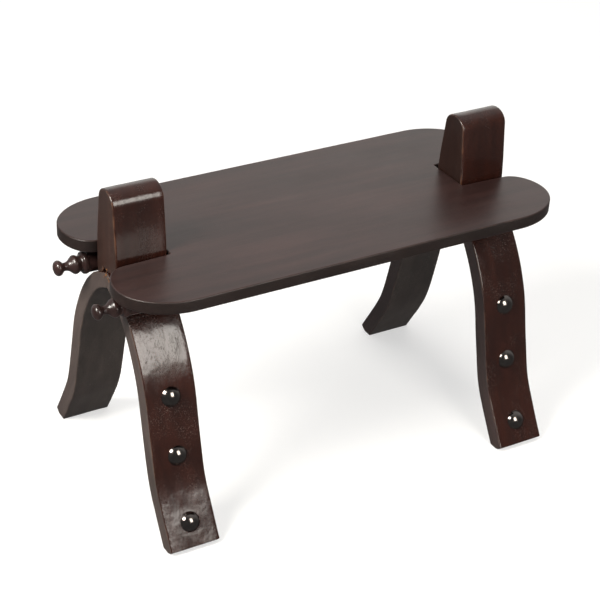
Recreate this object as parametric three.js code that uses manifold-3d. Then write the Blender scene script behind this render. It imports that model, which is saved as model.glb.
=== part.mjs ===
// Camel-saddle stool frame: a notched seat board between two pommel posts, carried by two arched end
// frames of S-curved legs and tied together by two turned rails with knob finials.
// Millimetres, +Z up. The origin is on the floor under the middle of the board, X runs along the board,
// and the front of the stool faces -Y.
import * as THREE from "three";
import { mergeVertices } from "three/addons/utils/BufferGeometryUtils.js";
import Module from "manifold-3d";

const wasm = await Module();
wasm.setup();

// ---- driving dimensions ----
const GAP = 0.3; // air left between pieces that touch
const CUT_PAST = 20; // how far a cutting solid runs past the piece it cuts
const ENDS = { left: -1, right: 1 }; // side of the stool along X
const ROWS = { front: -1, rear: 1 }; // side of the stool along Y

const SEAT_TOP = 300; // height of the board's upper face
const BOARD_THICKNESS = 14.5;
const BOARD_HALF_WIDTH = 125.5;
const BOARD_EDGE_BREAK = 1; // chamfer round the board's outline
const LOBE_TIP = { x: 273, y: 70 }; // the outermost point of each rounded lobe
const LOBE_OUTER_START = 205; // where the long edge starts to curve round
const NOTCH_BOTTOM = 188.5; // inner end of the notch that takes the post
const NOTCH_HALF_INNER = 29;
const NOTCH_HALF_OUTER = 31;
const NOTCH_MOUTH = 245; // where the notch side turns into the lobe

const FRAME_OUTER = 250; // outer face of each end frame, along X
const FRAME_WIDTH = 60; // width of the posts and the legs, along X
const FRAME_MIDDLE = FRAME_OUTER - FRAME_WIDTH / 2;
const WOOD_EDGE_BREAK = 1.5; // chamfer on the long edges of posts and legs

const POST_HALF_THICK = 24.2; // from its foot up to the board's upper face
const POST_TOP_HALF = 18; // where the crown starts
const POST_CROWN_START = 361;
const POST_CROWN_RISE = 14.2;
const POST_FOOT = 265; // inside the leg heads, before they are cut out

const LEG_HEAD_THICK = 17.5;
const LEG_FOOT_THICK = 20.2;
const LEG_BELLY = 6.2; // extra thickness half way down
// Centreline of a rear leg, from past the mitre at the middle of the frame down to the foot: [y, z].
const LEG_LINE = [
  [-12, 272], [32, 250.5], [62, 215.5], [83, 172], [96, 120], [110.2, 68.7], [131.9, 29.1], [149.4, 1],
];
const LEG_STEPS = 20;
const FOOT_SHOULDER = 6; // height where the foot's outer corner starts to round
const FOOT_CORNER = { y: 154.5, z: 1.8 };
const SOLE = { outer: 148.5, inner: 138 }; // the worn flat that stands on the floor

const RAIL = { y: 51, z: 264.5, radius: 12, half: 251.5, edge: 0.5 };
const SPIGOT = { radius: 5, length: 18 };
const FINIAL = {
  flange: { radius: 12.4, end: 7.5, edge: 1 },
  cove: { radius: 8.6, middle: 9.6 },
  bell: { radius: 10.4, widest: 15.8 },
  shoulder: { radius: 7.2, middle: 20 },
  neck: { radius: 4.7, start: 24.5, end: 29 },
  ball: { radius: 8.6, middle: 34.2, half: 5.1 },
};

const BATTEN = { x: 150, width: 30, half: 80 };
const STUD = { radius: 11.5, rise: 6.5, shank: 1.6, depth: 13, heights: [166, 99, 30] };
const STUD_HEIGHT_NAMES = ["upper", "middle", "lower"];
const POST_DOWEL = { radius: 4, y: 12.5, spread: 17, bottom: 260, top: 300 };
const MITRE_DOWEL = { radius: 3, z: 268.5, half: 10 };
const LEG_SCREW = { head: 3.8, shank: 1.9, length: 36 };
const RAIL_SCREW = { head: 3.8, shank: 1.9, length: 40, sunk: 0.6 };

// ---- how finely curves are divided ----
const ROUND_SEGMENTS = 14; // rails and finials
const STUD_SEGMENTS = 10;
const PIN_SEGMENTS = 10; // dowels, screws and nail shanks
const OUTLINE_SEGMENTS = 7; // each quarter round of an outline
const PROFILE_SEGMENTS = 2; // each stretch of a turned profile

// ---- finishes ----
const darkStain = { color: 0x2b1a16, roughness: 0.38, metalness: 0 };
const seatStain = { color: 0x2a201d, roughness: 0.55, metalness: 0 };
const bareWood = { color: 0xa9875e, roughness: 0.7, metalness: 0 };
const gunMetal = { color: 0x1c1b1d, roughness: 0.2, metalness: 0.9 };
const screwSteel = { color: 0x8d8d90, roughness: 0.4, metalness: 0.9 };

// ---- helpers ----
function toSolid(geometry) {
  const bare = new THREE.BufferGeometry();
  bare.setAttribute("position", geometry.getAttribute("position").clone());
  if (geometry.index) bare.setIndex(geometry.index.clone());
  const merged = mergeVertices(bare, 1e-4);
  return new wasm.Manifold(new wasm.Mesh({
    numProp: 3,
    vertProperties: new Float32Array(merged.getAttribute("position").array),
    triVerts: new Uint32Array(merged.index.array),
  }));
}

function toGeometry(solid) {
  const mesh = solid.getMesh();
  const geometry = new THREE.BufferGeometry();
  geometry.setAttribute("position", new THREE.BufferAttribute(mesh.vertProperties, 3));
  geometry.setIndex(new THREE.BufferAttribute(mesh.triVerts, 1));
  geometry.computeVertexNormals();
  return geometry;
}

const group = new THREE.Group();

function add(name, geometry, finish) {
  const mesh = new THREE.Mesh(geometry, new THREE.MeshStandardMaterial(finish));
  mesh.name = name;
  group.add(mesh);
}

function points(pairs) {
  return pairs.map(([a, b]) => new THREE.Vector2(a, b));
}

// A round solid turned from a closed profile whose points hold a radius and a distance along the axis.
function turned(profile, segments) {
  const onAxis = 1e-6;
  const clean = profile.map(({ x, y }) => new THREE.Vector2(x < onAxis ? 0 : x, y));
  return new THREE.LatheGeometry(clean, segments);
}

// Moves a solid turned about Y so that its axis starts at origin and points along direction.
function aim(geometry, origin, direction) {
  const turn = new THREE.Quaternion().setFromUnitVectors(
    new THREE.Vector3(0, 1, 0), new THREE.Vector3(...direction).normalize());
  return geometry.applyQuaternion(turn).translate(...origin);
}

function rod(radius, length, origin, direction, segments = PIN_SEGMENTS) {
  const profile = points([[0, 0], [radius, 0], [radius, length], [0, length]]);
  return aim(turned(profile, segments), origin, direction);
}

// An outline in Y and Z, extruded along X between the two faces of one end frame.
function frameSlab(shape, end, edgeBreak, width = FRAME_WIDTH) {
  const geometry = new THREE.ExtrudeGeometry(shape, {
    depth: width - 2 * edgeBreak,
    curveSegments: OUTLINE_SEGMENTS,
    bevelEnabled: edgeBreak > 0,
    bevelThickness: edgeBreak,
    bevelSize: edgeBreak,
    bevelOffset: -edgeBreak,
    bevelSegments: 1,
  });
  geometry.translate(0, 0, edgeBreak - width / 2);
  geometry.applyMatrix4(new THREE.Matrix4().makeBasis(
    new THREE.Vector3(0, 1, 0), new THREE.Vector3(0, 0, 1), new THREE.Vector3(1, 0, 0)));
  return geometry.translate(end * FRAME_MIDDLE, 0, 0);
}

// A countersunk wood screw: its head's face is at 0 and its point at length.
function screw({ head, shank, length }, grow = 0) {
  const profile = points([
    [0, 0],
    [head + grow, 0],
    [shank + grow, head - shank],
    [shank + grow, length - 2 * shank + grow],
    [0, length + grow],
  ]);
  return turned(profile, PIN_SEGMENTS);
}

// ---- leg outline ----
const legLine = new THREE.SplineCurve(points(LEG_LINE));

// A point of the leg's outer (side 1) or inner (side -1) face, at u from 0 at the head to 1 at the foot.
function legSurface(u, side, grow = 0) {
  const centre = legLine.getPointAt(u);
  const along = legLine.getTangentAt(u);
  const thick = LEG_HEAD_THICK + (LEG_FOOT_THICK - LEG_HEAD_THICK) * u + LEG_BELLY * u * (1 - u);
  const reach = side * (thick / 2 + grow);
  return new THREE.Vector2(centre.x - along.y * reach, centre.y + along.x * reach);
}

function legFace(side, grow, lowest) {
  const steps = Array.from({ length: LEG_STEPS + 1 }, (_, k) => k / LEG_STEPS);
  return steps.map((u) => legSurface(u, side, grow)).filter((point) => point.y > lowest);
}

function legShape(grow = 0) {
  const shape = new THREE.Shape(legFace(1, grow, FOOT_SHOULDER));
  shape.quadraticCurveTo(FOOT_CORNER.y, FOOT_CORNER.z, SOLE.outer, 0);
  shape.lineTo(SOLE.inner, 0);
  for (const { x, y } of legFace(-1, grow, 1).reverse()) shape.lineTo(x, y);
  return shape;
}

// The outer face's point and outward normal at a given height.
function legOuterAt(height) {
  let low = 0;
  let high = 1;
  while (high - low > 1e-9) {
    const middle = (low + high) / 2;
    if (legSurface(middle, 1).y > height) low = middle;
    else high = middle;
  }
  const along = legLine.getTangentAt(low);
  return { point: legSurface(low, 1), normal: new THREE.Vector2(-along.y, along.x) };
}

// ---- what passes through a leg ----
// Where each stud's head sits, and the direction it faces.
function studSeats(end, row) {
  return STUD.heights.map((height) => {
    const { point, normal } = legOuterAt(height);
    return {
      base: [end * FRAME_MIDDLE, point.x * row, point.y],
      out: [0, normal.x * row, normal.y],
    };
  });
}

// A hole for the stud's shank under a shallow round seat for its head.
function studHole({ base, out }) {
  const head = STUD.radius + GAP;
  const shank = STUD.shank + GAP;
  const depth = STUD.depth + GAP;
  const profile = points([
    [0, -depth], [shank, -depth], [shank, 0], [head, 0], [head, STUD.rise], [0, STUD.rise],
  ]);
  return aim(turned(profile, ROUND_SEGMENTS), base, out);
}

function postDowelRods(end, row, grow = 0) {
  const length = POST_DOWEL.top - POST_DOWEL.bottom + 2 * grow;
  return [-1, 1].map((step) => {
    const x = end * FRAME_MIDDLE + step * POST_DOWEL.spread;
    const foot = [x, row * POST_DOWEL.y, POST_DOWEL.bottom - grow];
    return rod(POST_DOWEL.radius + grow, length, foot, [0, 0, 1]);
  });
}

function mitreDowelRod(end, grow = 0) {
  const start = [end * FRAME_MIDDLE, -MITRE_DOWEL.half - grow, MITRE_DOWEL.z];
  return rod(MITRE_DOWEL.radius + grow, 2 * (MITRE_DOWEL.half + grow), start, [0, 1, 0]);
}

// The screw that holds the rail runs square through the leg to the rail's axis.
function legScrew(end, row, grow = 0) {
  const axis = new THREE.Vector2(RAIL.y, RAIL.z);
  const steps = Array.from({ length: 401 }, (_, k) => k / 400);
  const distance = (u) => legSurface(u, 1).distanceTo(axis);
  const nearest = steps.reduce((best, u) => (distance(u) < distance(best) ? u : best));
  const under = legSurface(nearest, -1);
  const towards = axis.sub(under);
  return aim(screw(LEG_SCREW, grow), [end * FRAME_MIDDLE, under.x * row, under.y],
    [0, towards.x * row, towards.y]);
}

function legSolid(end, row) {
  const slab = toSolid(frameSlab(legShape(), end, WOOD_EDGE_BREAK));
  let leg = row > 0 ? slab : slab.mirror([0, 1, 0]);
  const cut = (geometry) => {
    leg = leg.subtract(toSolid(geometry));
  };
  const beyondMitre = new THREE.BoxGeometry(FRAME_WIDTH + CUT_PAST, 2 * CUT_PAST, 4 * CUT_PAST);
  cut(beyondMitre.translate(end * FRAME_MIDDLE, row * (GAP / 2 - CUT_PAST), LEG_LINE[0][1]));
  const cradleStart = [-FRAME_OUTER - CUT_PAST, row * RAIL.y, RAIL.z];
  const cradleLength = 2 * (FRAME_OUTER + CUT_PAST);
  cut(rod(RAIL.radius + GAP, cradleLength, cradleStart, [1, 0, 0], 2 * ROUND_SEGMENTS));
  studSeats(end, row).forEach((seat) => cut(studHole(seat)));
  postDowelRods(end, row, GAP).forEach(cut);
  cut(mitreDowelRod(end, GAP));
  cut(legScrew(end, row, GAP));
  return leg;
}

// ---- posts ----
function postShape() {
  const shape = new THREE.Shape();
  shape.moveTo(-POST_HALF_THICK, POST_FOOT);
  shape.lineTo(POST_HALF_THICK, POST_FOOT);
  shape.lineTo(POST_HALF_THICK, SEAT_TOP);
  shape.absellipse(0, POST_CROWN_START, POST_TOP_HALF, POST_CROWN_RISE, 0, Math.PI, false, 0);
  shape.lineTo(-POST_HALF_THICK, SEAT_TOP);
  return shape;
}

// The leg heads are cut out of the post's foot, so that it sits astride them.
function postSolid(end) {
  let post = toSolid(frameSlab(postShape(), end, WOOD_EDGE_BREAK));
  const head = toSolid(frameSlab(legShape(GAP), end, 0, FRAME_WIDTH + CUT_PAST));
  post = post.subtract(head).subtract(head.mirror([0, 1, 0]));
  for (const row of Object.values(ROWS)) {
    for (const hole of postDowelRods(end, row, GAP)) post = post.subtract(toSolid(hole));
  }
  return post;
}

// ---- rail screws, which run up through rail, batten and board ----
function railScrew(end, row, grow = 0) {
  const head = [end * BATTEN.x, row * RAIL.y, RAIL.z - RAIL.radius + RAIL_SCREW.sunk];
  return aim(screw(RAIL_SCREW, grow), head, [0, 0, 1]);
}

function cutRailScrews(solid, ends, rows) {
  let cut = solid;
  for (const end of ends) {
    for (const row of rows) {
      const mouth = [end * BATTEN.x, row * RAIL.y, RAIL.z - RAIL.radius + RAIL_SCREW.sunk];
      cut = cut.subtract(toSolid(railScrew(end, row, GAP)));
      cut = cut.subtract(toSolid(rod(RAIL_SCREW.head + GAP, RAIL.radius / 2, mouth, [0, 0, -1])));
    }
  }
  return cut;
}

// ---- board and battens ----
function boardShape() {
  const { x: tipX, y: tipY } = LOBE_TIP;
  const outer = [tipX - LOBE_OUTER_START, BOARD_HALF_WIDTH - tipY];
  const inner = [tipX - NOTCH_MOUTH, tipY - NOTCH_HALF_OUTER];
  const quarter = Math.PI / 2;
  const shape = new THREE.Shape();
  shape.moveTo(NOTCH_BOTTOM, -NOTCH_HALF_INNER);
  shape.lineTo(NOTCH_BOTTOM, NOTCH_HALF_INNER);
  shape.absellipse(NOTCH_MOUTH, tipY, ...inner, -quarter, 0, false, 0);
  shape.absellipse(LOBE_OUTER_START, tipY, ...outer, 0, quarter, false, 0);
  shape.absellipse(-LOBE_OUTER_START, tipY, ...outer, quarter, 2 * quarter, false, 0);
  shape.absellipse(-NOTCH_MOUTH, tipY, ...inner, 2 * quarter, 3 * quarter, false, 0);
  shape.lineTo(-NOTCH_BOTTOM, NOTCH_HALF_INNER);
  shape.lineTo(-NOTCH_BOTTOM, -NOTCH_HALF_INNER);
  shape.absellipse(-NOTCH_MOUTH, -tipY, ...inner, quarter, 2 * quarter, false, 0);
  shape.absellipse(-LOBE_OUTER_START, -tipY, ...outer, 2 * quarter, 3 * quarter, false, 0);
  shape.absellipse(LOBE_OUTER_START, -tipY, ...outer, -quarter, 0, false, 0);
  shape.absellipse(NOTCH_MOUTH, -tipY, ...inner, 0, quarter, false, 0);
  return shape;
}

function boardSolid() {
  const slab = new THREE.ExtrudeGeometry(boardShape(), {
    depth: BOARD_THICKNESS - 2 * BOARD_EDGE_BREAK,
    curveSegments: OUTLINE_SEGMENTS,
    bevelThickness: BOARD_EDGE_BREAK,
    bevelSize: BOARD_EDGE_BREAK,
    bevelOffset: -BOARD_EDGE_BREAK,
    bevelSegments: 1,
  });
  slab.translate(0, 0, SEAT_TOP - BOARD_THICKNESS + BOARD_EDGE_BREAK);
  return cutRailScrews(toSolid(slab), Object.values(ENDS), Object.values(ROWS));
}

// A batten fills the height between the rails and the board.
function battenSolid(end) {
  const bottom = RAIL.z + RAIL.radius + GAP;
  const top = SEAT_TOP - BOARD_THICKNESS - GAP;
  const bar = new THREE.BoxGeometry(BATTEN.width, 2 * BATTEN.half, top - bottom)
    .translate(end * BATTEN.x, 0, (top + bottom) / 2);
  return cutRailScrews(toSolid(bar), [end], Object.values(ROWS));
}

// ---- rails and finials ----
// A plain rod with a bored hole in each end that takes a finial's spigot.
function railSolid(row) {
  const bore = SPIGOT.radius + GAP;
  const floor = RAIL.half - SPIGOT.length - GAP;
  const profile = points([
    [0, -floor],
    [bore, -floor],
    [bore, -RAIL.half],
    [RAIL.radius - RAIL.edge, -RAIL.half],
    [RAIL.radius, RAIL.edge - RAIL.half],
    [RAIL.radius, RAIL.half - RAIL.edge],
    [RAIL.radius - RAIL.edge, RAIL.half],
    [bore, RAIL.half],
    [bore, floor],
    [0, floor],
  ]);
  let rail = toSolid(aim(turned(profile, ROUND_SEGMENTS), [0, row * RAIL.y, RAIL.z], [1, 0, 0]));
  for (const end of Object.values(ENDS)) rail = rail.subtract(toSolid(legScrew(end, row, GAP)));
  return cutRailScrews(rail, Object.values(ENDS), [row]);
}

// Turned knob: spigot, flange, cove, bell, neck and flattened ball, from its inner end outwards.
function finial(end, row) {
  const { flange, cove, bell, shoulder, neck, ball } = FINIAL;
  const seat = RAIL.half + GAP - FRAME_OUTER;
  const path = new THREE.Path();
  path.moveTo(0, seat - SPIGOT.length);
  path.lineTo(SPIGOT.radius, seat - SPIGOT.length);
  path.lineTo(SPIGOT.radius, seat);
  path.lineTo(flange.radius - flange.edge, seat);
  path.lineTo(flange.radius, seat + flange.edge);
  path.lineTo(flange.radius, flange.end - flange.edge);
  path.lineTo(flange.radius - flange.edge, flange.end);
  path.splineThru(points([
    [cove.radius, cove.middle],
    [bell.radius, bell.widest],
    [shoulder.radius, shoulder.middle],
    [neck.radius, neck.start],
    [neck.radius, neck.end],
  ]));
  const leavesNeck = -Math.acos(neck.radius / ball.radius);
  path.absellipse(0, ball.middle, ball.radius, ball.half, leavesNeck, Math.PI / 2, false, 0);
  const knob = turned(path.getPoints(PROFILE_SEGMENTS), ROUND_SEGMENTS);
  return aim(knob, [end * FRAME_OUTER, row * RAIL.y, RAIL.z], [end, 0, 0]);
}

// ---- studs ----
// A domed nail head on a short shank, from the shank's point outwards.
function stud({ base, out }) {
  const { radius, rise, shank, depth } = STUD;
  const sphere = (radius * radius + rise * rise) / (2 * rise);
  const start = Math.acos(radius / sphere);
  const path = new THREE.Path();
  path.moveTo(0, GAP - depth);
  path.lineTo(shank, GAP - depth + 2 * shank);
  path.lineTo(shank, GAP);
  path.absarc(0, GAP + rise - sphere, sphere, start, Math.PI / 2, false);
  return aim(turned(path.getPoints(PROFILE_SEGMENTS), STUD_SEGMENTS), base, out);
}

// ---- assembly ----
add("seat_board", toGeometry(boardSolid()), seatStain);

for (const [endName, end] of Object.entries(ENDS)) {
  add(`pommel_post_${endName}`, toGeometry(postSolid(end)), darkStain);
  add(`seat_batten_${endName}`, toGeometry(battenSolid(end)), seatStain);
  add(`mitre_dowel_${endName}`, mitreDowelRod(end), bareWood);
}

for (const [rowName, row] of Object.entries(ROWS)) {
  add(`rail_${rowName}`, toGeometry(railSolid(row)), darkStain);
  for (const [endName, end] of Object.entries(ENDS)) {
    const corner = `${rowName}_${endName}`;
    add(`leg_${corner}`, toGeometry(legSolid(end, row)), darkStain);
    add(`finial_${corner}`, finial(end, row), darkStain);
    studSeats(end, row).forEach((seat, k) => {
      add(`stud_${corner}_${STUD_HEIGHT_NAMES[k]}`, stud(seat), gunMetal);
    });
    postDowelRods(end, row).forEach((pin, k) => {
      add(`post_dowel_${corner}_${k + 1}`, pin, bareWood);
    });
    add(`leg_screw_${corner}`, legScrew(end, row), screwSteel);
    add(`rail_screw_${corner}`, railScrew(end, row), screwSteel);
  }
}

export default group;
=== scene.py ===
# Looks of the saddle stool frame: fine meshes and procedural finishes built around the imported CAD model.
# Metres, in the CAD frame: +Z up, X along the board, the stool's front faces -Y.
import math

import bmesh
import bpy
import numpy as np
from mathutils import Matrix, Vector, noise


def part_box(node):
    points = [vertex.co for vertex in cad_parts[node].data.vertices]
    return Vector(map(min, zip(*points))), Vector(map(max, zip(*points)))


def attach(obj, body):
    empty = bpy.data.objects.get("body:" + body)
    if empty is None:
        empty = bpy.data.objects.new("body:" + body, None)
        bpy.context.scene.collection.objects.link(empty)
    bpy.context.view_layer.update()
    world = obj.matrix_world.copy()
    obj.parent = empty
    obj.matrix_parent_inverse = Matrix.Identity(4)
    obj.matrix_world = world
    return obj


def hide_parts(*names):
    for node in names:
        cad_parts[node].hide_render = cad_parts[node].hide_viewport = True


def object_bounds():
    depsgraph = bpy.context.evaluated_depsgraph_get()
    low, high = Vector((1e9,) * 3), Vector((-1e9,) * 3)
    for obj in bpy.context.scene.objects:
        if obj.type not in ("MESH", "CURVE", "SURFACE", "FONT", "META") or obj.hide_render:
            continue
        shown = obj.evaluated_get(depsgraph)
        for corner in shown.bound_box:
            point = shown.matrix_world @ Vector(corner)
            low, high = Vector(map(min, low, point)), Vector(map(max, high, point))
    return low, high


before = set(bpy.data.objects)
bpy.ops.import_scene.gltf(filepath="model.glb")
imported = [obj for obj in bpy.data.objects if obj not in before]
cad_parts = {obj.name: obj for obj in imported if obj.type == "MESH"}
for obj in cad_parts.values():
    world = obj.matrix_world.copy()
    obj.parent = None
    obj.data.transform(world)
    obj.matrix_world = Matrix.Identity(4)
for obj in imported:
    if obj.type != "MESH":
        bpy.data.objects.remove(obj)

CAD_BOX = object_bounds()
BODY = "root"
ENDS = {"left": -1, "right": 1}
ROWS = {"front": -1, "rear": 1}
MM = 0.001

# ---- how the pieces are finished ----
OUTLINE_STEP = 2.5 * MM   # spacing of points along a smoothed outline
CORNER_TURN = 30          # degrees; a sharper turn in an outline stays a corner
STRAIGHT_RATIO = 3        # a stretch this much longer than its neighbour is straight
LEG_EDGE = 1.8 * MM       # radius of the rounded edges
POST_EDGE = 2.0 * MM
BOARD_EDGE = 1.4 * MM
BATTEN_EDGE = 1.0 * MM
SHARP_EDGE = 35           # degrees; a sharper edge between two faces is shaded sharp

WEAR_MARGIN = 0.7 * MM    # width of the flat rim between a slab's rounded edge and its cap
MERGE = 0.02 * MM         # points nearer than this become one
BOARD_WAVE = 0.12 * MM    # how far a hand-shaped outline wanders
POST_WAVE = 0.30 * MM
LEG_WAVE = 0.35 * MM
RAIL_WAVE = 0.15 * MM
FRAME_STEPS = 14          # rings between the two faces of a post or leg
BOARD_STEPS = 4
BATTEN_STEPS = 2
RAIL_STEPS = 40
RAIL_SEGMENTS = 56
NAIL_SEGMENTS = 48
SCREW_SEGMENTS = 32

STUD_RADIUS = 11.5 * MM
STUD_RISE = 6.4 * MM
STUD_SINK = 0.8 * MM      # how far the dome's rim goes into the wood
STUD_RINGS = 12
SCREW_HEAD = 3.8 * MM
SCREW_SHANK = 1.9 * MM
RECESS = (4.2 * MM, 0.9 * MM, 2.4 * MM)    # one bar of the cross recess: length, width and height

ROOM_DIM, ROOM_BRIGHT = 0.11, 0.47     # the room's brightness in front of the stool and behind it
BRIGHT_WALL = (0.42, 0.72, 0.55)       # direction of the brightest part of the room
LAMP_COLOUR = (1.0, 0.965, 0.90)
FLOOR_GLOW = 0.55
BACKDROP_GLOW = 0.68

# Glue beads on the left joint: sideways from the middle, height over the post's foot, and radius, in mm.
GLUE_BEADS = [
    (-9.5, 0.5, 1.5), (-6.6, 3.4, 1.9), (-3.8, 5.6, 1.3), (1.4, 7.6, 1.6),
    (0.4, 11.5, 1.0), (3.2, 4.6, 1.2), (-0.8, 15.0, 1.3), (6.4, 2.2, 1.1),
]

# Knob: radius and distance out from the end frame's face, from the flange to the tip of the ball.
KNOB_PROFILE = [
    (0.0, 1.2), (11.2, 1.2), (12.3, 2.0), (12.7, 4.2), (12.3, 6.4), (11.2, 7.3), (9.6, 7.8), (8.7, 9.4),
    (9.2, 11.4), (10.3, 13.6), (10.6, 15.6), (10.0, 17.4), (8.3, 19.4), (6.4, 21.6), (5.2, 24.0),
    (4.7, 26.6), (5.0, 28.8), (6.6, 30.4), (8.1, 32.2), (8.7, 34.4), (8.1, 36.6), (6.2, 38.4),
    (3.4, 39.4), (0.0, 39.7),
]


# ---------------------------------------------------------------- outlines taken from the CAD solids
def section(node_name, axis, value):
    """The longest closed outline where a plane square to an axis cuts a CAD node, as 2-D points."""
    bm = bmesh.new()
    bm.from_mesh(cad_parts[node_name].data)
    bmesh.ops.remove_doubles(bm, verts=bm.verts, dist=1e-6)
    at = Vector((0, 0, 0))
    at[axis] = value
    normal = Vector((0, 0, 0))
    normal[axis] = 1
    cut = bmesh.ops.bisect_plane(bm, geom=bm.verts[:] + bm.edges[:] + bm.faces[:], dist=1e-7,
                                 plane_co=at, plane_no=normal, clear_inner=True)
    bm.edges.index_update()
    edges = {e for e in cut["geom_cut"] if isinstance(e, bmesh.types.BMEdge)}
    keep = [k for k in range(3) if k != axis]
    loops = []
    while edges:
        edge = min(edges, key=lambda e: e.index)
        edges.discard(edge)
        start, here = edge.verts
        loop = [start, here]
        while here is not start:
            edge = next((e for e in here.link_edges if e in edges), None)
            if edge is None:
                break
            edges.discard(edge)
            here = edge.other_vert(here)
            loop.append(here)
        loops.append([(v.co[keep[0]], v.co[keep[1]]) for v in loop[:-1]])
    bm.free()
    best = max(loops, key=lambda pts: sum(math.dist(a, b) for a, b in zip(pts, pts[1:])))
    return tidy_outline(np.array(best))


def tidy_outline(points):
    """Drops doubled points and points inside a straight stretch, and turns the outline anticlockwise."""
    nearest, straight = 0.05 * MM, 1e-4
    keep = []
    for k in range(len(points)):
        if keep and np.linalg.norm(points[k] - points[keep[-1]]) < nearest:
            continue
        keep.append(k)
    points = points[keep]
    before = points - np.roll(points, 1, 0)
    after = np.roll(points, -1, 0) - points
    turn = np.cross(before, after) / (np.linalg.norm(before, axis=1) * np.linalg.norm(after, axis=1))
    points = points[np.abs(turn) > straight]
    area = np.cross(points, np.roll(points, -1, 0)).sum()
    return points if area > 0 else points[::-1]


def smooth_outline(points):
    """Rounds a faceted outline between its corners, with points about OUTLINE_STEP apart."""
    count = len(points)
    after = np.roll(points, -1, 0) - points
    length = np.linalg.norm(after, axis=1)
    ahead = after / length[:, None]
    leave = [None] * count
    arrive = [None] * count
    for k in range(count):
        back, on = ahead[k - 1], ahead[k]
        turn = math.degrees(math.acos(np.clip(back @ on, -1, 1)))
        if turn > CORNER_TURN:
            arrive[k], leave[k] = back, on
            continue
        if length[k] > STRAIGHT_RATIO * length[k - 1]:
            tangent = on
        elif length[k - 1] > STRAIGHT_RATIO * length[k]:
            tangent = back
        else:
            tangent = back * length[k] + on * length[k - 1]
        arrive[k] = leave[k] = tangent / np.linalg.norm(tangent)
    made = []
    for k in range(count):
        nxt = (k + 1) % count
        steps = max(1, round(length[k] / OUTLINE_STEP))
        for t in np.arange(steps) / steps:
            # a cubic between the two points that keeps the outline's direction at both
            at_start, at_end = 2 * t**3 - 3 * t**2 + 1, -2 * t**3 + 3 * t**2
            out_of, into = t**3 - 2 * t**2 + t, t**3 - t**2
            made.append(at_start * points[k] + out_of * length[k] * leave[k]
                        + at_end * points[nxt] + into * length[k] * arrive[nxt])
    return np.array(made)


def outward(points):
    """Each outline point's outward direction, longer at a corner so that an inset keeps its width."""
    least_cosine = 0.3
    before = points - np.roll(points, 1, 0)
    after = np.roll(points, -1, 0) - points
    sides = [np.stack([d[:, 1], -d[:, 0]], 1) / np.linalg.norm(d, axis=1)[:, None] for d in (before, after)]
    middle = sides[0] + sides[1]
    middle /= np.linalg.norm(middle, axis=1)[:, None]
    return middle / np.clip((middle * sides[0]).sum(1), least_cosine, 1)[:, None]


def distance_to(points, outline):
    """Each point's distance to an outline's nearest stretch."""
    start, along = outline, np.roll(outline, -1, 0) - outline
    offset = points[:, None] - start[None]
    share = np.clip((offset * along).sum(2) / (along**2).sum(1), 0, 1)
    return np.linalg.norm(offset - share[..., None] * along, axis=2).min(1)


def inset_outline(outline, inset):
    """The outline moved inwards. Points that would cross over at a corner are spread between good ones."""
    smallest, near_enough = 0.01 * MM, 0.995
    moved = outline - outward(outline) * inset
    if inset < smallest:
        return moved
    bad = distance_to(moved, outline) < inset * near_enough
    count = len(outline)
    spread = moved.copy()
    for k in np.flatnonzero(bad):
        low, high = k, k
        while bad[low % count]:
            low -= 1
        while bad[high % count]:
            high += 1
        share = (k - low) / (high - low)
        spread[k] = moved[low % count] * (1 - share) + moved[high % count] * share
    return spread


# ---------------------------------------------------------------- mesh making
def finish_mesh(name, bm, materials, nodes):
    """Turns a bmesh into a piece that rides on the body and stands for its CAD nodes."""
    bmesh.ops.recalc_face_normals(bm, faces=bm.faces)
    for edge in bm.edges:
        edge.smooth = not edge.is_manifold or edge.calc_face_angle() < math.radians(SHARP_EDGE)
    mesh = bpy.data.meshes.new(name)
    bm.to_mesh(mesh)
    bm.free()
    piece = bpy.data.objects.new(name, mesh)
    bpy.context.scene.collection.objects.link(piece)
    for material in materials:
        mesh.materials.append(material)
    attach(piece, BODY)
    if nodes:
        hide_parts(*nodes)
    return piece


def edge_layers(edge):
    """The layers of a slab's rounded edge, from its cap inwards: distance from the cap, inset and wear."""
    layers = [(0.0, edge + WEAR_MARGIN, 0.0)]
    for degrees in (90, 67.5, 45, 22.5, 0):
        turn = math.radians(degrees)
        layers.append((edge * (1 - math.sin(turn)), edge * (1 - math.cos(turn)), math.sin(2 * turn)))
    return layers


def uneven_push(co, waviness, seed):
    """How far a point of a hand-shaped outline is moved outwards."""
    broad = noise.noise(co * 26 + Vector((seed, 2 * seed, 0)))
    fine = noise.noise(co * 70)
    return waviness * broad + 0.4 * waviness * fine


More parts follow.
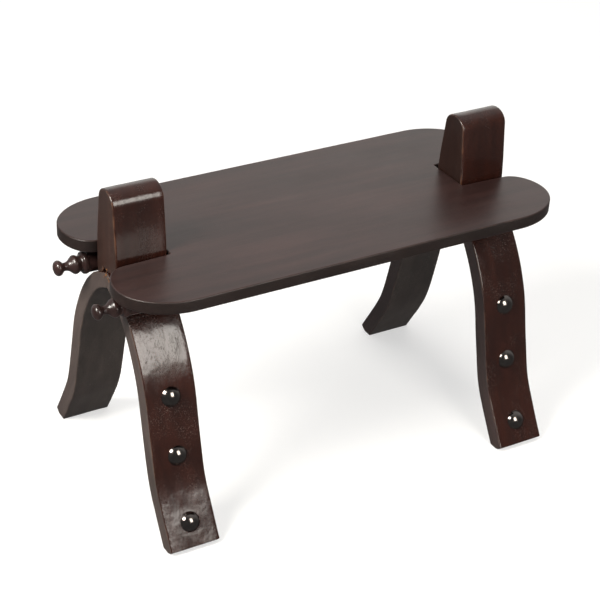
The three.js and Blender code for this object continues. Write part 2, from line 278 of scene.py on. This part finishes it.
def slab(outline, axis, low, high, edge, steps, waviness=0.0, seed=0.0, floor=None):
    """A solid with rounded edges: an outline square to an axis, carried from low to high along it.
    Faces across the axis get material 1. The vertex layer "wear" is 1 along the rounded edges."""
    normals = outward(outline)
    keep = [k for k in range(3) if k != axis]
    insets = {}
    rim = edge_layers(edge)
    span = high - low - 2 * edge
    layers = [(low + depth, inset, worn) for depth, inset, worn in rim]
    layers += [(low + edge + span * k / steps, 0.0, 0.0) for k in range(1, steps)]
    layers += [(high - depth, inset, worn) for depth, inset, worn in reversed(rim)]
    bm = bmesh.new()
    wear = bm.verts.layers.float.new("wear")
    rings = []
    for along, inset, worn in layers:
        ring = []
        if inset not in insets:
            insets[inset] = inset_outline(outline, inset)
        for point, normal in zip(insets[inset], normals):
            co = Vector((0, 0, 0))
            co[axis] = along
            co[keep[0]], co[keep[1]] = point
            if waviness:
                push = uneven_push(co, waviness, seed)
                co[keep[0]] += normal[0] * push
                co[keep[1]] += normal[1] * push
            if floor is not None:
                co.z = max(co.z, floor)
            vert = bm.verts.new(co)
            vert[wear] = worn
            ring.append(vert)
        rings.append(ring)
    count = len(outline)
    for lower, upper in zip(rings, rings[1:]):
        for k in range(count):
            nxt = (k + 1) % count
            bm.faces.new((lower[k], lower[nxt], upper[nxt], upper[k]))
    for ring in (rings[0], rings[-1]):
        bm.faces.new(ring)
    bmesh.ops.remove_doubles(bm, verts=bm.verts, dist=MERGE)
    bm.normal_update()
    halfway, flat = math.sin(math.radians(45)), 0.9999
    for face in bm.faces:
        facing = abs(face.normal[axis])
        face.material_index = 1 if facing > halfway else 0
        face.smooth = facing < flat
    return bm


def turned(profile, origin, direction, segments):
    """A solid turned round an axis. Its profile is (radius, distance along) pairs from axis to axis."""
    on_axis = 1e-6
    turn = Vector((0, 0, 1)).rotation_difference(Vector(direction)).to_matrix()
    bm = bmesh.new()
    rings = []
    for radius, along in profile:
        count = 1 if radius < on_axis else segments
        angles = [2 * math.pi * k / count for k in range(count)]
        ring = [Vector((radius * math.cos(a), radius * math.sin(a), along)) for a in angles]
        rings.append([bm.verts.new(Vector(origin) + turn @ point) for point in ring])
    for lower, upper in zip(rings, rings[1:]):
        for k in range(segments):
            nxt = (k + 1) % segments
            corners = [lower[k % len(lower)], lower[nxt % len(lower)],
                       upper[nxt % len(upper)], upper[k % len(upper)]]
            corners = list(dict.fromkeys(corners))
            if len(corners) > 2:
                bm.faces.new(corners).smooth = True
    return bm


def rounded_profile(profile, steps=4):
    """Fills a turned profile's points in with a smooth curve."""
    points = np.array(profile)
    padded = np.vstack([2 * points[0] - points[1], points, 2 * points[-1] - points[-2]])
    made = []
    for k in range(len(points) - 1):
        a, b, c, d = padded[k:k + 4]
        for t in np.arange(steps) / steps:
            made.append(0.5 * (2 * b + (c - a) * t + (2 * a - 5 * b + 4 * c - d) * t**2
                               + (3 * b - a - 3 * c + d) * t**3))
    made.append(points[-1])
    made = np.array(made)
    made[:, 0] = np.clip(made[:, 0], 0, None)
    return [(float(r), float(a)) for r, a in made]


# ---------------------------------------------------------------- materials
def plug(tree, socket, value):
    """Links a socket to another node's output, or sets it to a plain value."""
    if isinstance(value, bpy.types.NodeSocket):
        tree.links.new(value, socket)
    else:
        socket.default_value = value


def node(tree, kind, inputs=None, **settings):
    made = tree.nodes.new(kind)
    for key, value in settings.items():
        setattr(made, key, value)
    for key, value in (inputs or {}).items():
        plug(tree, made.inputs[key], value)
    return made


def new_material(name):
    material = bpy.data.materials.new(name)
    material.use_nodes = True
    tree = material.node_tree
    tree.nodes.clear()
    shader = node(tree, "ShaderNodeBsdfPrincipled")
    output = node(tree, "ShaderNodeOutputMaterial")
    tree.links.new(shader.outputs["BSDF"], output.inputs["Surface"])
    return material, tree, shader


def grain_coords(tree, grain):
    """The object's coordinates, turned so that the grain's direction lies along X."""
    where = node(tree, "ShaderNodeTexCoord").outputs["Object"]
    turn = Vector(grain).rotation_difference(Vector((1, 0, 0))).to_euler()
    return node(tree, "ShaderNodeMapping", {"Vector": where, "Rotation": tuple(turn)}).outputs["Vector"]


def grain_noise(tree, coords, along, across, detail, offset=0.0, roughness=0.55):
    """Noise drawn out along X. The pattern is about along metres long and across metres wide."""
    mapping = node(tree, "ShaderNodeMapping", {
        "Vector": coords,
        "Location": (offset, offset, offset),
        "Scale": (1 / along, 1 / across, 1 / across)})
    pattern = node(tree, "ShaderNodeTexNoise", {
        "Vector": mapping.outputs["Vector"], "Scale": 1.0, "Detail": detail, "Roughness": roughness})
    return pattern.outputs["Fac"]


def ramp(tree, value, low, high, start=(0, 0, 0, 1), end=(1, 1, 1, 1)):
    """Goes from the start colour at low to the end colour at high."""
    made = node(tree, "ShaderNodeValToRGB", {"Fac": value})
    made.color_ramp.elements[0].position = low
    made.color_ramp.elements[0].color = start
    made.color_ramp.elements[1].position = high
    made.color_ramp.elements[1].color = end
    return made.outputs["Color"]


def mix(tree, amount, first, second, kind="MIX"):
    made = node(tree, "ShaderNodeMix", data_type="RGBA", blend_type=kind)
    plug(tree, made.inputs[0], amount)    # the node's colour sockets are numbers 6, 7 and, going out, 2
    plug(tree, made.inputs[6], first)
    plug(tree, made.inputs[7], second)
    return made.outputs[2]


def maths(tree, operation, first, second):
    made = node(tree, "ShaderNodeMath", operation=operation)
    plug(tree, made.inputs[0], first)
    plug(tree, made.inputs[1], second)
    return made.outputs[0]


def blend(tree, first, first_share, second, second_share):
    """The sum of two values, each taken by its share."""
    return maths(tree, "ADD", maths(tree, "MULTIPLY", first, first_share),
                 maths(tree, "MULTIPLY", second, second_share))


def add_bump(tree, height, strength, distance, under=None):
    """A bump on a height, over another bump's result where one is given."""
    inputs = {"Height": height, "Strength": strength, "Distance": distance}
    if under is not None:
        inputs["Normal"] = under
    return node(tree, "ShaderNodeBump", inputs).outputs["Normal"]


def spread_value(tree, value, low, high):
    """Carries the middle of a noise, where nearly all of it lies, onto the stretch from low to high."""
    made = node(tree, "ShaderNodeMapRange", {
        "Value": value, "From Min": 0.3, "From Max": 0.7, "To Min": low, "To Max": high})
    return made.outputs["Result"]


def stained_colour(tree, coords, base, streak, worn, scuffs, patches, specks, pores, bands):
    """Streaks, pores, cloudy stain, rubbed edges and dust, laid over each other."""
    colour = mix(tree, ramp(tree, bands, 0.38, 0.66), (*base, 1), (*streak, 1))
    colour = mix(tree, ramp(tree, pores, 0.30, 0.46, PORE_SHADE), (0, 0, 0, 1), colour)
    clouds = grain_noise(tree, coords, 0.11, 0.06, 3, offset=7.7)
    colour = mix(tree, 1.0, colour, ramp(tree, clouds, 0.25, 0.75, *CLOUD_SHADES), "MULTIPLY")
    wear = node(tree, "ShaderNodeAttribute", attribute_name="wear").outputs["Fac"]
    broken = ramp(tree, grain_noise(tree, coords, 0.018, 0.006, 5, offset=5.0), 0.46, 0.64)
    colour = mix(tree, maths(tree, "MULTIPLY", wear, broken), colour, (*worn, 1))
    dusty = maths(tree, "MULTIPLY", ramp(tree, specks, 0.58, 0.70), ramp(tree, patches, 0.46, 0.62))
    return mix(tree, maths(tree, "MULTIPLY", dusty, scuffs), colour, (*DUST, 1))


def knocked_height(tree, coords):
    """A hand-worked surface: shallow hollows with small knocks in places."""
    hollows = grain_noise(tree, coords, 0.016, 0.009, 2, offset=17.0)
    knocks = grain_noise(tree, coords, 0.0035, 0.0016, 4, offset=23.0, roughness=0.7)
    knocked = maths(tree, "MULTIPLY", ramp(tree, knocks, 0.55, 0.72), ramp(tree, hollows, 0.42, 0.60))
    return maths(tree, "SUBTRACT", hollows, maths(tree, "MULTIPLY", knocked, 0.22))


def stained_wood(name, grain, base, streak, worn, rough, rough_spread=0.06, coat=0.0, coat_rough=0.3,
                 scuffs=0.3, bump=0.15, dents=0.0):
    """Stained wood with its grain along a direction. Scuffs is how much dull dust shows, and dents is how
    strongly the hand-worked surface bends its reflections."""
    material, tree, shader = new_material(name)
    coords = grain_coords(tree, grain)
    bands = grain_noise(tree, coords, 0.22, 0.012, 4)
    pores = grain_noise(tree, coords, 0.020, 0.0009, 3, offset=3.1, roughness=0.7)
    specks = grain_noise(tree, coords, 0.0016, 0.0012, 2, offset=1.3, roughness=0.6)
    patches = grain_noise(tree, coords, 0.05, 0.035, 4, offset=11.0)
    colour = stained_colour(tree, coords, base, streak, worn, scuffs, patches, specks, pores, bands)
    unevenness = blend(tree, patches, 0.7, specks, 0.3)
    height = blend(tree, pores, 0.6, bands, 0.4)
    relief = add_bump(tree, height, bump, GRAIN_DEPTH)
    if dents:
        relief = add_bump(tree, knocked_height(tree, coords), dents, DENT_DEPTH, relief)
    plug(tree, shader.inputs["Base Color"], colour)
    plug(tree, shader.inputs["Roughness"],
         spread_value(tree, unevenness, rough - rough_spread, rough + rough_spread))
    plug(tree, shader.inputs["Coat Weight"], coat)
    plug(tree, shader.inputs["Coat Roughness"], coat_rough)
    plug(tree, shader.inputs["Normal"], relief)
    plug(tree, shader.inputs["Coat Normal"], relief)
    return material


def bare_wood(name, grain):
    """Unstained wood, for the dowels."""
    material, tree, shader = new_material(name)
    coords = grain_coords(tree, grain)
    bands = grain_noise(tree, coords, 0.09, 0.003, 5)
    pores = grain_noise(tree, coords, 0.012, 0.0007, 2, offset=2.0)
    colour = mix(tree, ramp(tree, bands, 0.35, 0.68), (0.42, 0.26, 0.13, 1), (0.24, 0.13, 0.06, 1))
    colour = mix(tree, ramp(tree, pores, 0.30, 0.44), (0.10, 0.05, 0.025, 1), colour)
    plug(tree, shader.inputs["Base Color"], colour)
    plug(tree, shader.inputs["Roughness"], 0.62)
    plug(tree, shader.inputs["Normal"], add_bump(tree, pores, 0.35, 0.4 * MM))
    return material


def dark_metal(name, base, worn, rough):
    """Blackened or plated metal with faint scratches and rubbed patches."""
    material, tree, shader = new_material(name)
    where = node(tree, "ShaderNodeTexCoord").outputs["Object"]
    patches = grain_noise(tree, where, 0.006, 0.006, 4)
    scratches = grain_noise(tree, where, 0.006, 0.0003, 2, offset=2.2)
    colour = mix(tree, ramp(tree, patches, 0.45, 0.72), (*base, 1), (*worn, 1))
    plug(tree, shader.inputs["Base Color"], colour)
    plug(tree, shader.inputs["Metallic"], 1.0)
    plug(tree, shader.inputs["Roughness"], spread_value(tree, patches, rough * 0.75, rough * 1.35))
    plug(tree, shader.inputs["Normal"], add_bump(tree, scratches, 0.12, 0.2 * MM))
    return material


def amber_glue(name):
    """Glue that was squeezed out of a joint and has gone brown, in places with stain over it."""
    material, tree, shader = new_material(name)
    where = node(tree, "ShaderNodeTexCoord").outputs["Object"]
    patches = grain_noise(tree, where, 0.003, 0.003, 3)
    colour = mix(tree, ramp(tree, patches, 0.40, 0.62), (0.22, 0.085, 0.025, 1), (0.045, 0.018, 0.009, 1))
    plug(tree, shader.inputs["Base Color"], colour)
    plug(tree, shader.inputs["Roughness"], 0.32)
    return material


def frame_wood(name, grain, worn, rough, scuffs, dents):
    """The varnished face of a post or leg."""
    return stained_wood(name, grain, base=(0.019, 0.0060, 0.0042), streak=(0.029, 0.0085, 0.0055), worn=worn,
                        rough=rough, rough_spread=0.07, coat=0.25, coat_rough=0.12,
                        scuffs=scuffs, bump=0.10, dents=dents)


def leg_side_wood_with_painted_light(row, end):
    """The duller sawn face of a leg, whose pale grey is partly painted sheen. The left end frame is the paler
    one; the right end's darker copy is painted shade, for the light that falls off away from the left end.
    """
    # painted light: the pale grey of both ends stands partly for a sheen, and the right end's darker colours
    # are painted shade
    if end == "left":
        base, streak, worn = (0.056, 0.041, 0.037), (0.073, 0.054, 0.048), (0.10, 0.073, 0.060)
    else:
        base, streak, worn = (0.036, 0.0225, 0.0215), (0.048, 0.0300, 0.0285), (0.060, 0.040, 0.035)
    return stained_wood(f"leg_sawn_{row}_{end}", LEG_LEAN[row], base=base, streak=streak, worn=worn,
                        rough=0.52, scuffs=0.25, bump=0.25)


def leg_inner_wood_with_painted_bounce(row):
    """A leg's face towards the middle of the stool, dusty and little polished. Its pale grey is partly that
    dust and partly painted light, for the bounce from the floor below.
    """
    # painted light: the pale grey base stands partly for light bounced up from the floor
    return stained_wood(f"leg_inner_{row}", LEG_LEAN[row], base=(0.036, 0.0275, 0.0245),
                        streak=(0.048, 0.037, 0.0325), worn=(0.06, 0.04, 0.03), rough=0.42, scuffs=0.5)


# Colours are linear.
PORE_SHADE = (0.55, 0.55, 0.55, 1)
CLOUD_SHADES = ((0.74, 0.72, 0.70, 1), (1.22, 1.20, 1.18, 1))
DUST = (0.16, 0.145, 0.13)
GRAIN_DEPTH = 0.6 * MM
DENT_DEPTH = 0.9 * MM

ALONG_BOARD = (1, 0, 0)
ACROSS_BOARD = (0, 1, 0)
UPRIGHT = (0, 0, 1)
LEG_LEAN = {"front": (0, -0.5, -0.87), "rear": (0, 0.5, -0.87)}

board_top = stained_wood(
    "board_stain", ALONG_BOARD, base=(0.0195, 0.0090, 0.0082), streak=(0.0295, 0.0136, 0.0123),
    worn=(0.034, 0.015, 0.012), rough=0.34, rough_spread=0.04, scuffs=0.10)
board_side = stained_wood(
    "board_edge_stain", ALONG_BOARD, base=(0.012, 0.0066, 0.0055), streak=(0.018, 0.0098, 0.0082),
    worn=(0.028, 0.016, 0.013), rough=0.45, scuffs=0.2, bump=0.35)
post_face = frame_wood("post_varnish", UPRIGHT, worn=(0.075, 0.030, 0.016),
                       rough=0.24, scuffs=0.15, dents=0.30)
# The right post's side is a darker copy of the left post's: painted shade, for the light that falls off away
# from the left end.
post_side = {
    "left": stained_wood(
        "post_side_stain_left", UPRIGHT, base=(0.027, 0.0115, 0.0078), streak=(0.037, 0.0155, 0.0105),
        worn=(0.10, 0.05, 0.03), rough=0.42, coat=0.1, coat_rough=0.25, bump=0.22),
    "right": stained_wood(
        "post_side_painted_shade_right", UPRIGHT, base=(0.015, 0.0062, 0.0046), streak=(0.021, 0.0088, 0.0064),
        worn=(0.07, 0.032, 0.02), rough=0.42, coat=0.1, coat_rough=0.25, scuffs=0.2, bump=0.22),
}
leg_face = {row: frame_wood(f"leg_varnish_{row}", LEG_LEAN[row], worn=(0.052, 0.022, 0.0125),
                            rough=0.22, scuffs=0.30, dents=0.40) for row in ROWS}
leg_inner = {row: leg_inner_wood_with_painted_bounce(row) for row in ROWS}
leg_side = {(row, end): leg_side_wood_with_painted_light(row, end) for row in ROWS for end in ENDS}
rail_finish = stained_wood(
    "rail_stain", ALONG_BOARD, base=(0.022, 0.0105, 0.0095), streak=(0.032, 0.015, 0.0135),
    worn=(0.07, 0.04, 0.026), rough=0.30, coat=0.3, coat_rough=0.15)
batten_wood = stained_wood(
    "batten_stain", ACROSS_BOARD, base=(0.018, 0.0125, 0.0112), streak=(0.028, 0.019, 0.017),
    worn=(0.06, 0.042, 0.034), rough=0.5, bump=0.3)
dowel_wood = {"post": bare_wood("dowel_upright", UPRIGHT), "mitre": bare_wood("dowel_across", ACROSS_BOARD)}
gunmetal = dark_metal("gunmetal", base=(0.19, 0.17, 0.16), worn=(0.26, 0.23, 0.21), rough=0.13)
glue = amber_glue("old_glue")
zinc = dark_metal("zinc_plate", base=(0.42, 0.41, 0.39), worn=(0.55, 0.53, 0.48), rough=0.34)


# ---------------------------------------------------------------- wooden pieces
def make_board():
    low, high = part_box("seat_board")
    outline = smooth_outline(section("seat_board", 2, (low.z + 3 * high.z) / 4))
    bm = slab(outline, 2, low.z, high.z, BOARD_EDGE, BOARD_STEPS, BOARD_WAVE, seed=4.0)
    # the faces across the axis are the board's top and underside, so they take the top's finish
    finish_mesh("notched_board", bm, [board_side, board_top], ["seat_board"])


def make_frame_piece(name, node_name, end, edge, materials, waviness, seed, row=0):
    """A post or a leg. A leg's face towards the middle of the stool gets material 2."""
    low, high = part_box(node_name)
    outer = high.x if end > 0 else low.x
    past_chamfer = 3 * MM
    outline = smooth_outline(section(node_name, 0, outer - end * past_chamfer))
    bm = slab(outline, 0, low.x, high.x, edge, FRAME_STEPS, waviness, seed, floor=low.z)
    for face in bm.faces:
        if face.material_index == 0 and face.normal.y * row < 0:
            face.material_index = 2
    finish_mesh(name, bm, materials, [node_name])


def make_batten(end_name):
    node_name = f"seat_batten_{end_name}"
    low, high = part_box(node_name)
    outline = np.array([(low.x, low.y), (high.x, low.y), (high.x, high.y), (low.x, high.y)])
    bm = slab(outline, 2, low.z, high.z, BATTEN_EDGE, BATTEN_STEPS)
    finish_mesh(f"batten_{end_name}", bm, [batten_wood, batten_wood], [node_name])


def make_rail(row_name):
    low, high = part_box(f"rail_{row_name}")
    middle = (low + high) / 2
    radius, half = (high.z - low.z) / 2, (high.x - low.x) / 2
    rim = [(0, half), (radius - 1.2 * MM, half), (radius - 0.3 * MM, half - 0.4 * MM)]
    profile = [(reach, -along) for reach, along in rim]
    for k in range(1, RAIL_STEPS):
        wave = RAIL_WAVE * noise.noise(Vector((k * 0.9, ROWS[row_name] * 5.0, 0)))
        profile.append((radius + wave, -half + 2 * half * k / RAIL_STEPS))
    profile += reversed(rim)
    bm = turned(profile, middle, (1, 0, 0), RAIL_SEGMENTS)
    finish_mesh(f"turned_rail_{row_name}", bm, [rail_finish], [f"rail_{row_name}"])


def make_knob(row_name, end_name):
    node_name = f"finial_{row_name}_{end_name}"
    low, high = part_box(node_name)
    end = ENDS[end_name]
    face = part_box(f"leg_{row_name}_{end_name}")[1 if end > 0 else 0].x
    origin = (face, (low.y + high.y) / 2, (low.z + high.z) / 2)
    profile = [(r * MM, a * MM) for r, a in KNOB_PROFILE]
    bm = turned([profile[0]] + rounded_profile(profile[1:]), origin, (end, 0, 0), RAIL_SEGMENTS)
    finish_mesh(f"knob_{row_name}_{end_name}", bm, [rail_finish], [node_name])


# ---------------------------------------------------------------- metal pieces
def axis_of(node_name, outward_hint):
    """A turned CAD node's axis, which lies in the Y-Z plane, its outermost point along it, and its length."""
    co = np.array([v.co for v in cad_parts[node_name].data.vertices])
    co = np.unique(np.round(co, 6), axis=0)
    middle = (co.min(0) + co.max(0)) / 2
    spread = np.cov((co - co.mean(0))[:, 1:].T)
    values, vectors = np.linalg.eigh(spread)
    across = (co[:, 0] - co[:, 0].mean()).var()
    along = vectors[:, int(np.argmax(np.abs(values - across)))]
    direction = Vector((0, along[0], along[1])).normalized()
    if direction.dot(Vector(outward_hint)) < 0:
        direction = -direction
    reach = co @ np.array(direction)
    on_axis = co[np.abs(co[:, 0] - middle[0]) < 1e-5]
    top = on_axis[int(np.argmax(on_axis @ np.array(direction)))]
    return direction, Vector(top), float(reach.max() - reach.min())


def make_stud(row_name, end_name, height):
    node_name = f"stud_{row_name}_{end_name}_{height}"
    out, tip, _ = axis_of(node_name, (0, ROWS[row_name], 0.2))
    sphere = (STUD_RADIUS**2 + STUD_RISE**2) / (2 * STUD_RISE)
    opening = math.asin(STUD_RADIUS / sphere)
    angles = [opening * k / STUD_RINGS for k in range(STUD_RINGS, -1, -1)]
    dome = [(sphere * math.sin(a), sphere * (math.cos(a) - 1)) for a in angles]
    bottom = -STUD_RISE - STUD_SINK
    rim = [(0, bottom), (STUD_RADIUS - 0.7 * MM, bottom), (STUD_RADIUS - 0.1 * MM, -STUD_RISE - 0.3 * MM)]
    bm = turned(rim + dome, tip, out, NAIL_SEGMENTS)
    finish_mesh(f"nail_{row_name}_{end_name}_{height}", bm, [gunmetal], [node_name])


def screw_axis(kind, node_name, row_name):
    """The direction a screw's head faces, the middle of its head, and its length."""
    if kind == "leg":
        return axis_of(node_name, (0, -ROWS[row_name], -1))
    low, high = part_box(node_name)
    return Vector((0, 0, -1)), Vector(((low.x + high.x) / 2, (low.y + high.y) / 2, low.z)), high.z - low.z


def cross_recess(place, out):
    """The two crossed bars that are cut out of a screw's head."""
    length, width, height = RECESS
    bm = bmesh.new()
    for size in ((length, width, height), (width, length, height)):
        bar = bmesh.ops.create_cube(bm, size=1)
        bmesh.ops.scale(bm, vec=Vector(size), verts=bar["verts"])
    turn = Vector((0, 0, 1)).rotation_difference(out).to_matrix().to_4x4()
    bmesh.ops.transform(bm, matrix=Matrix.Translation(place) @ turn, verts=bm.verts)
    mesh = bpy.data.meshes.new("recess")
    bm.to_mesh(mesh)
    bm.free()
    tool = bpy.data.objects.new("recess", mesh)
    bpy.context.scene.collection.objects.link(tool)
    return tool


def cut_away(piece, tool):
    """Cuts a tool's shape out of a piece for good, and removes the tool."""
    cut = piece.modifiers.new("recess", "BOOLEAN")
    cut.object = tool
    cut.operation = "DIFFERENCE"
    cut.solver = "EXACT"
    cut.use_self = True
    bpy.context.view_layer.update()
    evaluated = piece.evaluated_get(bpy.context.evaluated_depsgraph_get())
    mesh = bpy.data.meshes.new_from_object(evaluated)
    piece.modifiers.clear()
    piece.data = mesh
    bpy.data.objects.remove(tool)


def make_screw(kind, row_name, end_name):
    """A countersunk screw with a cross recess in its head."""
    node_name = f"{kind}_screw_{row_name}_{end_name}"
    out, tip, length = screw_axis(kind, node_name, row_name)
    profile = [
        (0, -length),
        (SCREW_SHANK * 0.5, -length + 3 * MM),
        (SCREW_SHANK, -length + 6 * MM),
        (SCREW_SHANK, SCREW_SHANK - SCREW_HEAD),
        (SCREW_HEAD, -0.4 * MM),
        (SCREW_HEAD, -0.1 * MM),
        (SCREW_HEAD - 0.2 * MM, 0),
        (0, 0),
    ]
    bm = turned(profile, tip, out, SCREW_SEGMENTS)
    name = f"{kind}_wood_screw_{row_name}_{end_name}"
    piece = finish_mesh(name, bm, [zinc], [node_name])
    cut_away(piece, cross_recess(tip, out))


# ---------------------------------------------------------------- glue at the left joint
def make_glue():
    """Small uneven beads on the joint's outer face, where post and leg heads meet."""
    low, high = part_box("pommel_post_left")
    middle = (low.y + high.y) / 2
    bm = bmesh.new()
    flatness, squash = 0.35, 0.8
    for k, (y, z, radius) in enumerate(GLUE_BEADS):
        bead = bmesh.ops.create_icosphere(bm, subdivisions=3, radius=1)
        for vert in bead["verts"]:
            uneven = 1 + 0.45 * noise.noise(vert.co * 1.3 + Vector((k * 3.7, 0, 0)))
            co = vert.co * uneven * radius * MM
            vert.co = Vector((low.x + co.x * flatness,
                              middle + y * MM + co.y,
                              low.z + z * MM + co.z * squash))
    for face in bm.faces:
        face.smooth = True
    finish_mesh("joint_glue", bm, [glue], [])


# ---------------------------------------------------------------- assembly
make_board()
make_glue()
for end_name, end in ENDS.items():
    make_frame_piece(f"pommel_{end_name}", f"pommel_post_{end_name}", end, POST_EDGE,
                     [post_face, post_side[end_name]], POST_WAVE, seed=9.0 + end)
    make_batten(end_name)
    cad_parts[f"mitre_dowel_{end_name}"].data.materials[0] = dowel_wood["mitre"]
for row_name, row in ROWS.items():
    make_rail(row_name)
    for end_name, end in ENDS.items():
        make_frame_piece(f"curved_leg_{row_name}_{end_name}", f"leg_{row_name}_{end_name}", end, LEG_EDGE,
                         [leg_face[row_name], leg_side[row_name, end_name], leg_inner[row_name]],
                         LEG_WAVE, seed=2.0 * row + end, row=row)
        make_knob(row_name, end_name)
        for height in ("upper", "middle", "lower"):
            make_stud(row_name, end_name, height)
        for kind in ("leg", "rail"):
            make_screw(kind, row_name, end_name)
        for k in (1, 2):
            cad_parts[f"post_dowel_{row_name}_{end_name}_{k}"].data.materials[0] = dowel_wood["post"]


# ---------------------------------------------------------------- camera, floor and light
CAMERA_PLACE = (-0.8840, -1.4240, 1.1730)
CAMERA_TURNS = (30.595, 33.209, 2.49)    # degrees: from +Y towards +X, down, and round its own axis
CAMERA_LENS, CAMERA_SENSOR = 100.37, 36
CAMERA_SHIFT = (0.05, 0.12)


def make_camera():
    turn, down, roll = (math.radians(a) for a in CAMERA_TURNS)
    forward = Vector((math.sin(turn) * math.cos(down), math.cos(turn) * math.cos(down), -math.sin(down)))
    right = Vector((math.cos(turn), -math.sin(turn), 0))
    up = right.cross(forward)
    right, up = (math.cos(roll) * right + math.sin(roll) * up, math.cos(roll) * up - math.sin(roll) * right)
    data = bpy.data.cameras.new("camera")
    data.lens = CAMERA_LENS
    data.sensor_width = CAMERA_SENSOR
    data.shift_x, data.shift_y = CAMERA_SHIFT
    camera = bpy.data.objects.new("camera", data)
    bpy.context.scene.collection.objects.link(camera)
    place = Matrix((right, up, -forward)).transposed().to_4x4()
    place.translation = Vector(CAMERA_PLACE)
    camera.matrix_world = place
    bpy.context.scene.camera = camera


def grey_glow(name, grey, rough, glow):
    """A grey surface without highlights that also gives off white light."""
    material, tree, shader = new_material(name)
    plug(tree, shader.inputs["Base Color"], (grey, grey, grey, 1))
    plug(tree, shader.inputs["Roughness"], rough)
    plug(tree, shader.inputs["Specular IOR Level"], 0.0)
    plug(tree, shader.inputs["Emission Color"], (1, 1, 1, 1))
    plug(tree, shader.inputs["Emission Strength"], glow)
    return material


def make_floor():
    """A plain pale floor that glows a little, so it stays pale far from the lights. Nothing mirrors it."""
    bpy.ops.mesh.primitive_circle_add(vertices=96, radius=30, fill_type="NGON")
    floor = bpy.context.object
    floor.name = "floor"
    floor.visible_glossy = False
    floor.data.materials.append(grey_glow("pale_floor", 0.45, 1.0, FLOOR_GLOW))


def make_backdrop():
    """A plain pale shell far round the scene. Only the camera meets it, so it lights nothing."""
    bpy.ops.mesh.primitive_uv_sphere_add(segments=96, ring_count=48, radius=29)
    backdrop = bpy.context.object
    backdrop.name = "backdrop"
    backdrop.visible_glossy = False
    backdrop.visible_diffuse = False
    backdrop.visible_shadow = False
    backdrop.visible_transmission = False
    backdrop.data.materials.append(grey_glow("pale_backdrop", 0.0, 0.5, BACKDROP_GLOW))


def softbox(name, place, size, radiance, mirrored=True):
    """A rectangular soft light at a place, aimed at the middle of the stool. Mirrored says whether shiny
    surfaces show it."""
    data = bpy.data.lights.new(name, "AREA")
    data.shape = "RECTANGLE"
    data.size, data.size_y = size
    data.energy = radiance * size[0] * size[1]
    data.color = LAMP_COLOUR
    light = bpy.data.objects.new(name, data)
    bpy.context.scene.collection.objects.link(light)
    light.location = place
    away = Vector(place) - (CAD_BOX[0] + CAD_BOX[1]) / 2
    light.rotation_mode = "QUATERNION"
    light.rotation_quaternion = away.to_track_quat("Z", "Y")
    light.visible_camera = False
    light.visible_glossy = mirrored


def make_world():
    """A dim room whose rear wall and ceiling glow, brightest where the board's top mirrors them."""
    world = bpy.data.worlds.new("room")
    world.use_nodes = True
    tree = world.node_tree
    tree.nodes.clear()
    direction = node(tree, "ShaderNodeTexCoord").outputs["Generated"]
    rear = node(tree, "ShaderNodeVectorMath", {0: direction, 1: BRIGHT_WALL}, operation="DOT_PRODUCT")
    wall = node(tree, "ShaderNodeMapRange", {
        "Value": rear.outputs["Value"], "From Min": 0.05, "From Max": 0.8,
        "To Min": ROOM_DIM, "To Max": ROOM_BRIGHT}, interpolation_type="SMOOTHSTEP")
    room = node(tree, "ShaderNodeBackground", {"Color": (1, 1, 1, 1), "Strength": wall.outputs["Result"]})
    output = node(tree, "ShaderNodeOutputWorld")
    tree.links.new(room.outputs[0], output.inputs["Surface"])
    bpy.context.scene.world = world


make_camera()
make_floor()
make_backdrop()
make_world()
softbox("left_softbox", (-1.70, -0.30, 1.75), (0.80, 0.85), 110)
softbox("front_softbox", (0.13, -1.15, 0.88), (0.55, 0.80), 28)
softbox("rear_panel", (0.80, 1.45, 0.80), (2.2, 1.1), 1.9)
softbox("overhead_fill", (0.30, 0.60, 3.00), (4.5, 4.5), 2.1, mirrored=False)
bpy.context.scene.view_settings.view_transform = "Standard"
